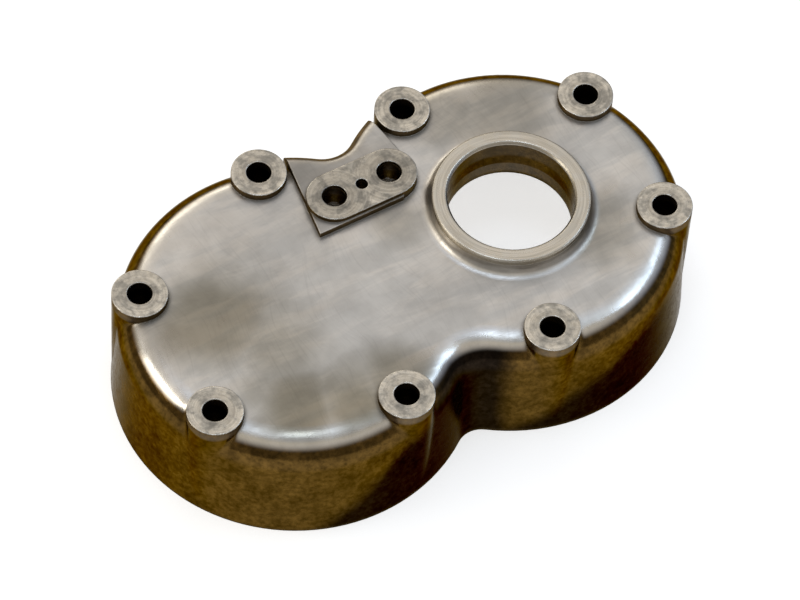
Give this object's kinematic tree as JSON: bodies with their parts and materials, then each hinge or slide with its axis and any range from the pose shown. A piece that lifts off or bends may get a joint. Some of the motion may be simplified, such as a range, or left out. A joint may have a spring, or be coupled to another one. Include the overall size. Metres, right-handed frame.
{
  "type": "gear housing cover",
  "caption": "Hollow figure-of-eight die cast housing with bolt columns round its rim, a bored seal ring over one lobe and an oblong fitting pad at the waist.",
  "frame": {"origin": "middle of the joint face, halfway between the two lobe axes", "axes": "+X along the line of the two lobe axes, towards the bored lobe; +Y towards the waist side with the fitting pad; +Z out of the joint face, up through the deck"},
  "size_m": [0.1676, 0.1004, 0.0412],
  "materials": {
    "housing": "polished, with machined pads, ring and joint face"
  },
  "bodies": {
    "root": {"housing": "housing"}
  },
  "joints": []
}
